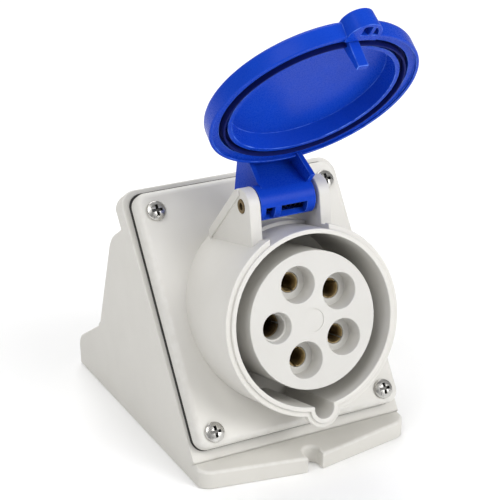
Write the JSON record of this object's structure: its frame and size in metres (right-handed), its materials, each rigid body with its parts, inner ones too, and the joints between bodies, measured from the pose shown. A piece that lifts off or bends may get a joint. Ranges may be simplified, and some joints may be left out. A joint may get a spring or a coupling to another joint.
{
  "type": "surface mount pin and sleeve socket",
  "caption": "Angled surface mount pin and sleeve socket: grey wall housing, screwed cover with a tilted round collar and contact sleeves, and a blue hinged lid standing open.",
  "frame": {"origin": "middle of the wall face's length, on the wall face and on the middle plane", "axes": "+Z leaves the wall, +Y runs along the wall from the front foot to the rear foot, +X to the right as the socket is faced"},
  "size_m": [0.1138, 0.183, 0.2225],
  "materials": {
    "housing_grey": "satin, fine moulded grain",
    "cover_grey": "satin",
    "carrier_grey": "satin",
    "lid_blue": "satin gloss",
    "black_rubber": "matt",
    "seal_navy": "matt",
    "brass": "turned",
    "plated_steel": "zinc plated"
  },
  "bodies": {
    "socket": {"housing": "housing_grey", "cover_gasket": "black_rubber", "cover": "cover_grey", "contact_carrier": "carrier_grey", "carrier_back": "carrier_grey", "carrier_back_screw": "plated_steel", "carrier_screw_1": "plated_steel", "carrier_screw_2": "plated_steel", "carrier_screw_3": "plated_steel", "line_1_sleeve": "brass", "line_2_sleeve": "brass", "line_3_sleeve": "brass", "neutral_sleeve": "brass", "earth_sleeve": "brass", "line_1_clamp_screw": "plated_steel", "line_2_clamp_screw": "plated_steel", "line_3_clamp_screw": "plated_steel", "neutral_clamp_screw": "plated_steel", "earth_clamp_screw": "plated_steel", "cover_screw_1": "plated_steel", "cover_screw_2": "plated_steel", "cover_screw_3": "plated_steel", "cover_screw_4": "plated_steel", "hinge_pin": "brass", "hinge_spring": "plated_steel", "cable_grommet": "black_rubber"},
    "lid": {"lid": "lid_blue", "lid_seal": "seal_navy"}
  },
  "joints": [
    {"name": "lid_hinge", "type": "hinge", "parent": "socket", "child": "lid", "pos_m": [0, -0.04597, 0.12481], "axis": [1, 0, 0], "range_deg": [-20, 125.3]}
  ]
}
